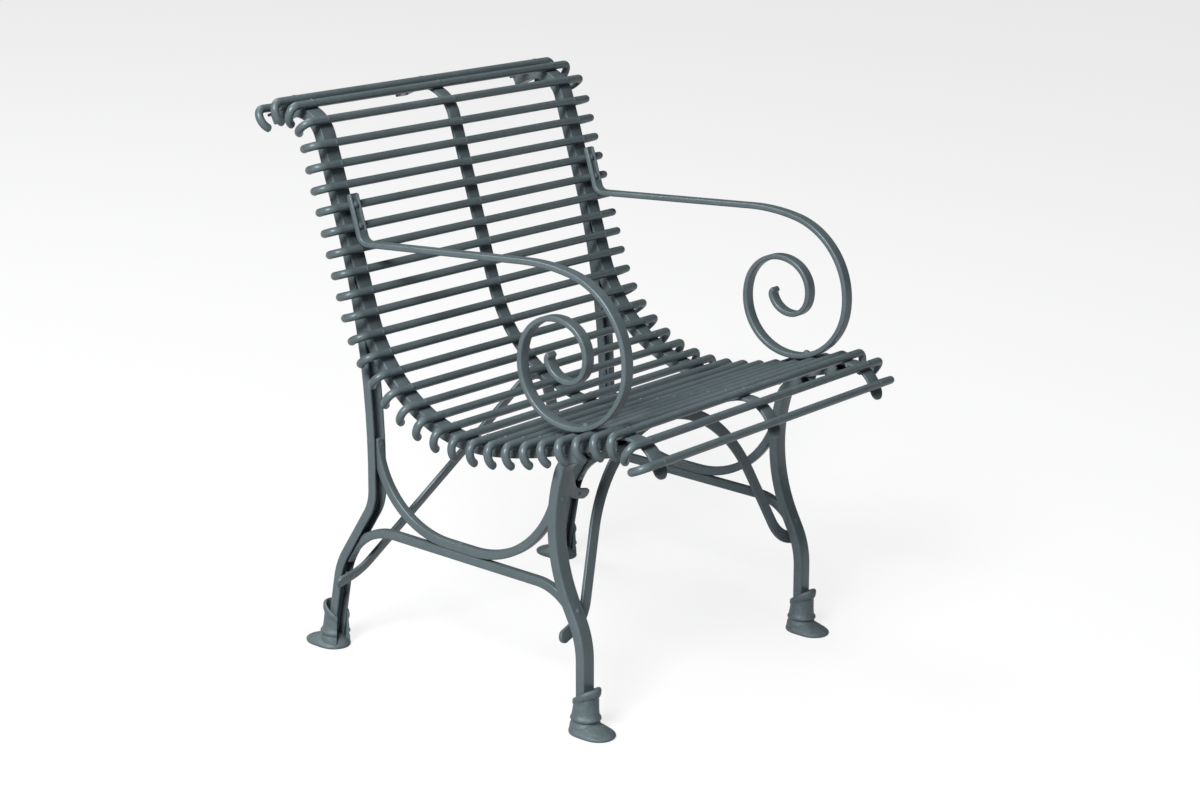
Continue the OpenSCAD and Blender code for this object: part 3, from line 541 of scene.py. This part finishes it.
class ARMCHAIR_OT_rods(bpy.types.Operator):
    """Makes the round rods with their hooked ends"""
    bl_idname = "armchair.rods"
    bl_label = "Rods"

    def execute(self, context):
        tip = context.scene.armchair_sizes.tip_edge * 1000
        half = CHAIR_W / 2 - HOOK_R - ROD_R
        bend = np.radians(np.linspace(0, 90, 13))
        curl = np.radians(np.linspace(0, HOOK_TIP, 11)[1:])
        x = np.concatenate([[0, half / 2], half + HOOK_R * np.sin(bend),
                            half + HOOK_R - HOOK_TIP_R + HOOK_TIP_R * np.cos(curl)])
        b = np.concatenate([[0, 0], HOOK_R * np.cos(bend) - HOOK_R,
                            -HOOK_R - HOOK_TIP_R * np.sin(curl)])
        way = np.concatenate([[0, 0], -bend, -math.pi / 2 - curl])
        radius = np.full(len(x), ROD_R)
        # The tip is rounded over the last steps, along the hook's own direction.
        turn = np.radians([20, 45, 70, 88])
        last = np.array([x[-1], b[-1]]) - tip * np.array([math.cos(way[-1]), math.sin(way[-1])])
        x = np.concatenate([x[:-1], last[0] + np.concatenate([[0], tip * np.sin(turn)]) * math.cos(way[-1])])
        b = np.concatenate([b[:-1], last[1] + np.concatenate([[0], tip * np.sin(turn)]) * math.sin(way[-1])])
        radius = np.concatenate([radius, ROD_R - tip * (1 - np.cos(turn))])
        way = np.concatenate([way, np.full(4, way[-1])])
        x = np.concatenate([-x[:0:-1], x])
        b = np.concatenate([b[:0:-1], b])
        way = np.concatenate([-way[:0:-1], way])
        radius = np.concatenate([radius[:0:-1], radius])
        a = np.linspace(0, 2 * math.pi, 24, endpoint=False)
        across = x[:, None] - np.sin(way)[:, None] * radius[:, None] * np.cos(a)
        up = b[:, None] + np.cos(way)[:, None] * radius[:, None] * np.cos(a)
        along = radius[:, None] * np.sin(a) * np.ones_like(up)
        for i in range(RODS):
            y, z, heading = slat(rod_s(i))
            c, s = math.cos(math.radians(heading)), math.sin(math.radians(heading))
            grid = np.stack([across, y + along * c - up * s, z + along * s + up * c], -1)
            make_piece("hooked_rod_%02d" % (i + 1), ["rod_%02d" % (i + 1)], [tube(grid)], paint())
        return {"FINISHED"}


class ARMCHAIR_OT_ribs(bpy.types.Operator):
    """Makes the three flat ribs under the rods"""
    bl_idname = "armchair.ribs"
    bl_label = "Ribs"

    def execute(self, context):
        edge = context.scene.armchair_sizes.strap_edge * 1000
        start = slat(-TONGUE)
        line = cut_line(SLAT_LINE, -TONGUE, RIB_S1)
        length = line_length(line)
        for name, side, w, t in (("left", -1, RIB_W, RIB_T), ("middle", 0, MID_RIB_W, MID_RIB_T),
                                 ("right", 1, RIB_W, RIB_T)):
            nose = w / 2 * (1 - np.cos(np.radians(np.linspace(8, 90, 10))))
            s = stations(line, np.concatenate([nose, end_marks(length, edge)]), 2.0)
            d = np.clip(s, 0, w / 2)
            wide = 2 * np.sqrt(np.maximum((w / 2) ** 2 - (w / 2 - d) ** 2, 1.0))
            inset = np.where(s > length / 2, round_end_inset(s, length, edge), 0)
            profile = rounded_box(wide - 2 * inset, -ROD_R - t + inset, -ROD_R - SEAT_GAP - inset, edge)
            grid = carry(path_places(start, line, s), profile, side * FRAME_X)
            make_piece("flat_rib_" + name, ["rib_" + name], [tube(grid)], paint())
        return {"FINISHED"}


class ARMCHAIR_OT_side_frames(bpy.types.Operator):
    """Makes the channel legs and posts, and the square arches and stretchers between them"""
    bl_idname = "armchair.side_frames"
    bl_label = "Side frames"

    def execute(self, context):
        edge = context.scene.armchair_sizes.bar_edge * 1000
        for name, side in (("left", -1), ("right", 1)):
            x = side * FRAME_X
            for piece, node, start, line, closed in (
                    ("channel_post_", "back_post_", POST_START, POST_LINE, 1),
                    ("channel_leg_", "front_leg_", LEG_START, LEG_LINE, -1)):
                s = stations(line, fine=2.0)
                section = channel_outline(CHAN_W, CHAN_D, CHAN_WALL, closed)
                grid = carry(path_places(start, line, s), section, x)
                make_piece(piece + name, [node + name], [tube(grid)], paint())
            for piece, node, start, line, turn in (
                    ("square_arch_", "arch_", ARCH_START, ARCH_LINE, -1),
                    ("square_stretcher_", "stretcher_", STRETCH_START, STRETCH_LINE, 1)):
                length = line_length(line)
                s = stations(line, end_marks(length, edge), 3.0)
                inset = round_end_inset(s, length, edge)
                low, high = (0, BAR_T) if turn > 0 else (-BAR_T, 0)
                profile = rounded_box(BAR_W - 2 * inset, low + inset, high - inset, edge)
                grid = carry(path_places(start, line, s), profile, x)
                make_piece(piece + name, [node + name], [tube(grid)], paint())
        return {"FINISHED"}


class ARMCHAIR_OT_braces(bpy.types.Operator):
    """Makes the two flat braces that arch from leg to leg under the middle rib"""
    bl_idname = "armchair.braces"
    bl_label = "Braces"

    def execute(self, context):
        edge = context.scene.armchair_sizes.strap_edge * 1000
        self.brace("front", leg_at, FRONT_BRACE, 1, edge)
        self.brace("back", post_at, BACK_BRACE, -1, edge)
        return {"FINISHED"}

    def brace(self, name, at_height, sizes, away, edge):
        """A strap in a leaning plane: its line starts in the middle of a round end, bends up beside the
        leg and arches over to the other side, and its second half is the mirror of the first."""
        height, lean, bow = sizes
        k = math.radians(lean)
        normal = away * np.array([math.cos(k), -math.sin(k)])
        rise = np.array([math.sin(k), math.cos(k)])
        # The strap clears the leg's edge over the heights that its round end covers.
        leg_edge = np.array([at_height(height + h)[:2] for h in np.arange(-BRACE_W, BRACE_W + 6.1, 3)])
        out = (leg_edge @ normal).max() + SEAT_GAP + BRACE_T / 2
        toe = math.radians(BRACE_TOE)
        mid = out * normal + (rise @ np.array(at_height(height)[:2]) - BRACE_END * math.tan(toe)) * rise
        top = self.rib_distance(mid, lean) - BRACE_W / 2 - BRACE_GAP
        start = (FRAME_X + BRACE_END, 0.0, 180 - BRACE_TOE)
        slope = math.degrees(math.atan2(top, FRAME_X + BRACE_END)) + bow
        a = step_along(step_along(start, (BRACE_STRAIGHT, 0)), (BRACE_TOE_R, BRACE_TOE - slope))
        g = math.radians(slope)
        r = (a[0] * math.sin(g) - math.cos(g) * (top - a[1])) / (1 - math.cos(g))
        run = (math.sin(g) * (top - a[1]) - (1 - math.cos(g)) * a[0]) / (1 - math.cos(g))
        half = BRACE_W / 2
        line = [(half + BRACE_STRAIGHT, 0), (BRACE_TOE_R, BRACE_TOE - slope), (run, 0), (r, slope)]
        begin = step_along(start, (-half, 0))
        nose = half * (1 - np.cos(np.radians(np.linspace(8, 90, 10))))
        s = stations(line, nose, 3.0)
        s[0] = nose[0] * 0.2
        places = path_places(begin, line, s)
        wide = 2 * np.sqrt(np.maximum(half ** 2 - (half - np.clip(s, 0, half)) ** 2, 1.0))
        places = np.concatenate([places, (places * [-1, 1, -1] + [0, 0, 360])[-2::-1]])
        wide = np.concatenate([wide, wide[-2::-1]])
        profile = rounded_box(wide, -BRACE_T / 2, BRACE_T / 2, edge)
        x, u, h = places.T
        h = np.radians(h)[:, None]
        across = x[:, None] - profile[..., 0] * np.sin(h)
        up = u[:, None] + profile[..., 0] * np.cos(h)
        thick = profile[..., 1]
        grid = np.stack([across, mid[0] + up * math.sin(k) + thick * math.cos(k),
                         mid[1] + up * math.cos(k) - thick * math.sin(k)], -1)
        make_piece("strap_brace_" + name, [name + "_brace"], [tube(grid)], paint())

    def rib_distance(self, mid, lean):
        """Distance along the leaning plane to the middle rib, by halving the stretch of the rib."""
        low, high = rod_s(RODS - 2), rod_s(ARM_RODS[1])
        for _ in range(HALVINGS):
            s = (low + high) / 2
            p = beside(slat(s), MID_UNDER)
            if p[0] < mid[0] + (p[1] - mid[1]) * math.tan(math.radians(lean)):
                low = s
            else:
                high = s
        return (p[1] - mid[1]) / math.cos(math.radians(lean))


class ARMCHAIR_OT_arms(bpy.types.Operator):
    """Makes the arms: upright with a bolt recess, armrest and scroll"""
    bl_idname = "armchair.arms"
    bl_label = "Arms"

    def execute(self, context):
        edge = context.scene.armchair_sizes.arm_edge * 1000
        start, line = arm_path()
        length = line_length(line)
        room, run_out, wall = 1.0, 1.2, 0.5
        low_end = ARM_TOP + ROD_PITCH + BOLT_HEAD / 2 + room
        fade = np.linspace(0, 1, 5)
        s = stations(line, np.concatenate([end_marks(length, edge), low_end + fade * run_out]), 2.5)
        inset = round_end_inset(s, length, edge)
        box = rounded_box(ARM_W - 2 * inset, inset, ARM_T - inset, edge)
        # The recess is a groove in the face at zero height, from the upright's end past the lower bolt.
        deep = RECESS_D * np.clip((low_end + run_out - s) / run_out, 0, 1)
        half = BOLT_HEAD / 2 + room
        groove = np.stack([
            np.stack([np.full(len(s), px), np.maximum(inset, deep if deeper else 0)], -1)
            for px, deeper in ((-half - wall, False), (-half, True), (half, True), (half + wall, False))], 1)
        before = 3 * (CORNER_STEPS + 1)
        profile = np.concatenate([box[:, :before], groove, box[:, before:]], axis=1)
        places = path_places(start, line, s)
        for name, side in (("left", -1), ("right", 1)):
            make_piece("scroll_arm_" + name, ["arm_" + name],
                       [tube(carry(places, profile, side * FRAME_X))], paint())
        return {"FINISHED"}


class ARMCHAIR_OT_feet(bpy.types.Operator):
    """Makes the cast feet: a domed pad with a low toe, and a sleeve with a bead and a rolled rim"""
    bl_idname = "armchair.feet"
    bl_label = "Feet"

    def execute(self, context):
        sole_edge = context.scene.armchair_sizes.sole_edge * 1000
        shapes = self.pad(sole_edge), self.sleeve()
        for end, start, line, closed in (("front", LEG_START, LEG_LINE, -1),
                                         ("back", POST_START, POST_LINE, 1)):
            leg = beside(place_at(start, line, line_length(line)), closed * CHAN_D / 2)
            for name, side in (("left", -1), ("right", 1)):
                parts = [tube(grid * [1, closed, 1] + [side * FRAME_X, leg[0], 0]) for grid in shapes]
                make_piece("cast_foot_%s_%s" % (end, name), ["foot_%s_%s" % (end, name)], parts,
                           paint("cast iron paint"), 50.0)
        return {"FINISHED"}

    def pad(self, sole_edge):
        """Rings round the pad, from under the sole, out over its edge and up to the leg. Each ring is a
        blend of the sole's long outline and a point under the leg, and its height falls off to the rim."""
        a = np.linspace(0, 2 * math.pi, 64, endpoint=False)
        reach = (SOLE_L - SOLE_W) / 2
        half = SOLE_W / 2
        ox, oy = half * np.cos(a), half * np.sin(a) + reach * np.tanh(np.sin(a) * 6) + TOE_SHIFT
        rise = np.cos(np.radians(np.linspace(20, 88, 14)))
        v = np.concatenate([[0.02, 0.5, 0.93, 0.975, 0.99], [1.0, 0.995, 0.98], rise])[:, None]
        z = np.concatenate([[0, 0, 0, 0.25, 0.9], [sole_edge * 0.5, sole_edge * 0.85, sole_edge],
                            sole_edge + DOME * (1 - rise ** 1.7)])[:, None]
        middle = 1.0
        x = v * ox
        y = middle + v * (oy - middle)
        # The dome is lower towards the toe.
        toe, toe_reach, toe_dip = 14.0, 34.0, 0.22
        dip = 1 - toe_dip * np.clip((y - toe) / toe_reach, 0, 1)
        z = np.where(z > sole_edge, sole_edge + (z - sole_edge) * dip, z * np.ones_like(x))
        return np.stack([x, y, z], -1)

    def sleeve(self):
        """Section of the sleeve, carried round the leg from one side of the channel's mouth to the other.
        Its rim rises towards the toe, with a roll outside it, and a bead runs round over the pad."""
        a = np.radians(np.linspace(-134, 134, 61))
        toe = (1 + np.cos(a)) / 2
        r = SLEEVE_D / 2
        drop = 0.84 * SLEEVE_D * math.tan(math.radians(RIM_SLOPE))
        rim = RIM_Z - 3.5 - drop * (1 - toe) ** 1.35
        roll = 1.3 + 1.5 * toe ** 2
        share = 0.55 + 0.45 * toe
        rows = [np.stack([r - 0.6 + out * share, np.full_like(a, height)], -1)
                for height, out in SLEEVE_ROWS]
        rows += [np.stack([r - 0.4 + roll * out, rim - down * share], -1) for down, out in RIM_ROWS]
        rows.append(np.stack([np.full_like(a, r - 2.9), rim - 1.2], -1))
        for height in (rim - 4, np.full_like(a, 6)):
            rows.append(np.stack([np.full_like(a, r - SLEEVE_WALL), height], -1))
        section = np.array(rows).transpose(1, 0, 2)
        # Heights stay in order where the rim comes down low at the heel.
        outside = len(SLEEVE_ROWS)
        most = (rim - 17)[:, None] - np.arange(outside - 1, -1, -1) * 0.05
        section[:, :outside, 1] = np.minimum(section[:, :outside, 1], most)
        radius, z = section[..., 0], section[..., 1]
        back = 1.0
        return np.stack([radius * np.sin(a)[:, None], radius * np.cos(a)[:, None] - back, z], -1)


class ARMCHAIR_OT_fittings(bpy.types.Operator):
    """Paints the rails, rivets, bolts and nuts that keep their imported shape"""
    bl_idname = "armchair.fittings"
    bl_label = "Rails and fasteners"

    def execute(self, context):
        for node in ("seat_rail_left", "seat_rail_right", "rod_rivets", "frame_rivets", "brace_rivets",
                     "arm_bolts", "arm_nuts"):
            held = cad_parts[node]
            held.data.materials.clear()
            held.data.materials.append(paint() if node.startswith("seat_rail") else paint("fastener paint"))
        return {"FINISHED"}


class ARMCHAIR_OT_studio(bpy.types.Operator):
    """Sets up the pale floor, the soft lights and the camera"""
    bl_idname = "armchair.studio"
    bl_label = "Studio"
    # Place, size, power and colour of each lamp, which looks at the chair's middle
    LIGHTS = (
        ("key light", (-5.2, -1.1, 4.5), 2.4, 830.0, (1.0, 0.99, 0.97)),
        ("fill light", (-1.8, -5.0, 3.4), 1.6, 48.0, (0.97, 0.985, 1.0)),
        ("back light", (0.2, 2.6, 4.6), 2.2, 130.0, (1.0, 1.0, 1.0)),
    )
    MIDDLE = (0, 0, 0.4)
    FLOOR_HALF = 90.0

    def execute(self, context):
        scene = context.scene
        scene.view_settings.view_transform = "Standard"
        self.floor(scene.armchair_look.floor_colour)
        self.world(scene)
        for name, place, size, power, colour in self.LIGHTS:
            lamp = bpy.data.lights.new(name, "AREA")
            lamp.shape, lamp.size, lamp.energy, lamp.color = "DISK", size, power, colour
            held = bpy.data.objects.new(name, lamp)
            aim = np.array(self.MIDDLE) - place
            held.matrix_world = Matrix.Translation(place) @ self.facing(aim).to_4x4()
            scene.collection.objects.link(held)
        self.camera(scene)
        return {"FINISHED"}

    def facing(self, way):
        """Turn whose -Z axis looks along the given direction, with Y as near upright as it can be."""
        back = -np.asarray(way, float) / np.linalg.norm(way)
        right = np.cross([0, 0, 1], back)
        right /= np.linalg.norm(right)
        return Matrix(np.stack([right, np.cross(back, right), back], 1).tolist())

    def floor(self, colour):
        """Flat floor. Seen straight or in gloss, it shines a little so that it is nearly white and keeps
        the shadow. For light that spreads to the chair it is a darker floor."""
        x = np.linspace(-self.FLOOR_HALF, self.FLOOR_HALF, 3)
        gx, gy = np.meshgrid(x, x, indexing="ij")
        points = np.stack([gx, gy, np.zeros_like(gx)], -1).reshape(-1, 3)
        i, j = (v.ravel() for v in np.meshgrid([0, 1], [0, 1], indexing="ij"))
        quads = np.stack([i * 3 + j, (i + 1) * 3 + j, (i + 1) * 3 + j + 1, i * 3 + j + 1], -1)
        mesh = bpy.data.meshes.new("floor")
        mesh.from_pydata(points.tolist(), [], quads.tolist())
        s = Shader("pale floor")
        s.surface.inputs["Base Color"].default_value = (*colour, 1)
        s.surface.inputs["Roughness"].default_value = 0.9
        s.surface.inputs["Specular IOR Level"].default_value = 0.1
        rays = s.node("ShaderNodeLightPath")
        seen = s.node("ShaderNodeEmission", {}, {"Color": (1, 1, 1, 1), "Strength": 0.78})
        both = s.node("ShaderNodeAddShader", {}, {0: s.surface.outputs[0], 1: seen})
        bounce = s.node("ShaderNodeBsdfDiffuse", {}, {"Color": (0.09, 0.09, 0.095, 1)})
        glossy = Wire(s, rays.value.node.outputs["Is Glossy Ray"])
        pick = s.node("ShaderNodeMixShader", {}, {0: rays + glossy, 1: bounce, 2: both})
        s.tree.links.new(pick.value, s.output.inputs["Surface"])
        mesh.materials.append(s.material)
        floor = bpy.data.objects.new("floor", mesh)
        bpy.context.scene.collection.objects.link(floor)

    def world(self, scene):
        world = bpy.data.worlds.new("soft studio")
        world.use_nodes = True
        sky = world.node_tree.nodes["Background"]
        sky.inputs["Color"].default_value = (0.95, 0.97, 1.0, 1)
        sky.inputs["Strength"].default_value = 0.04
        scene.world = world

    def camera(self, scene):
        """Camera at the photograph's place, turned by its azimuth and elevation and a small roll."""
        a, e, roll = (math.radians(v) for v in (-55.11, 16.53, 3.88))
        ahead = -np.array([math.sin(a) * math.cos(e), -math.cos(a) * math.cos(e), math.sin(e)])
        level = np.cross(ahead, [0, 0, 1])
        level /= np.linalg.norm(level)
        over = np.cross(level, ahead)
        right = math.cos(roll) * level + math.sin(roll) * over
        up = -math.sin(roll) * level + math.cos(roll) * over
        lens = bpy.data.cameras.new("camera")
        lens.sensor_fit, lens.sensor_width = "HORIZONTAL", SENSOR
        lens.lens = FOCAL * SENSOR / PHOTO_W
        lens.shift_x, lens.shift_y = -19.0 / PHOTO_W, 15.0 / PHOTO_W
        lens.clip_end = 200.0
        held = bpy.data.objects.new("camera", lens)
        turn = Matrix(np.stack([right, up, -ahead], 1).tolist()).to_4x4()
        held.matrix_world = Matrix.Translation((-3.192, -2.3114, 1.520)) @ turn
        scene.collection.objects.link(held)
        scene.camera = held


class ARMCHAIR_PT_panel(bpy.types.Panel):
    """Lists the armchair's steps in the sidebar"""
    bl_label = "Armchair"
    bl_idname = "ARMCHAIR_PT_panel"
    bl_space_type = "VIEW_3D"
    bl_region_type = "UI"
    bl_category = "Armchair"

    def draw(self, context):
        for group in (context.scene.armchair_sizes, context.scene.armchair_look):
            for name in group.__annotations__:
                self.layout.prop(group, name)
        for operator in STEPS:
            self.layout.operator(operator.bl_idname)


STEPS = (ARMCHAIR_OT_rods, ARMCHAIR_OT_ribs, ARMCHAIR_OT_side_frames, ARMCHAIR_OT_braces,
         ARMCHAIR_OT_arms, ARMCHAIR_OT_feet, ARMCHAIR_OT_fittings, ARMCHAIR_OT_studio)
CLASSES = (ArmchairSizes, ArmchairLook) + STEPS + (ARMCHAIR_PT_panel,)


def register():
    for cls in CLASSES:
        bpy.utils.register_class(cls)
    bpy.types.Scene.armchair_sizes = PointerProperty(type=ArmchairSizes)
    bpy.types.Scene.armchair_look = PointerProperty(type=ArmchairLook)


def unregister():
    del bpy.types.Scene.armchair_look
    del bpy.types.Scene.armchair_sizes
    for cls in reversed(CLASSES):
        bpy.utils.unregister_class(cls)


def main():
    register()
    bpy.ops.armchair.rods()
    bpy.ops.armchair.ribs()
    bpy.ops.armchair.side_frames()
    bpy.ops.armchair.braces()
    bpy.ops.armchair.arms()
    bpy.ops.armchair.feet()
    bpy.ops.armchair.fittings()
    bpy.ops.armchair.studio()


if __name__ == "__main__":
    main()
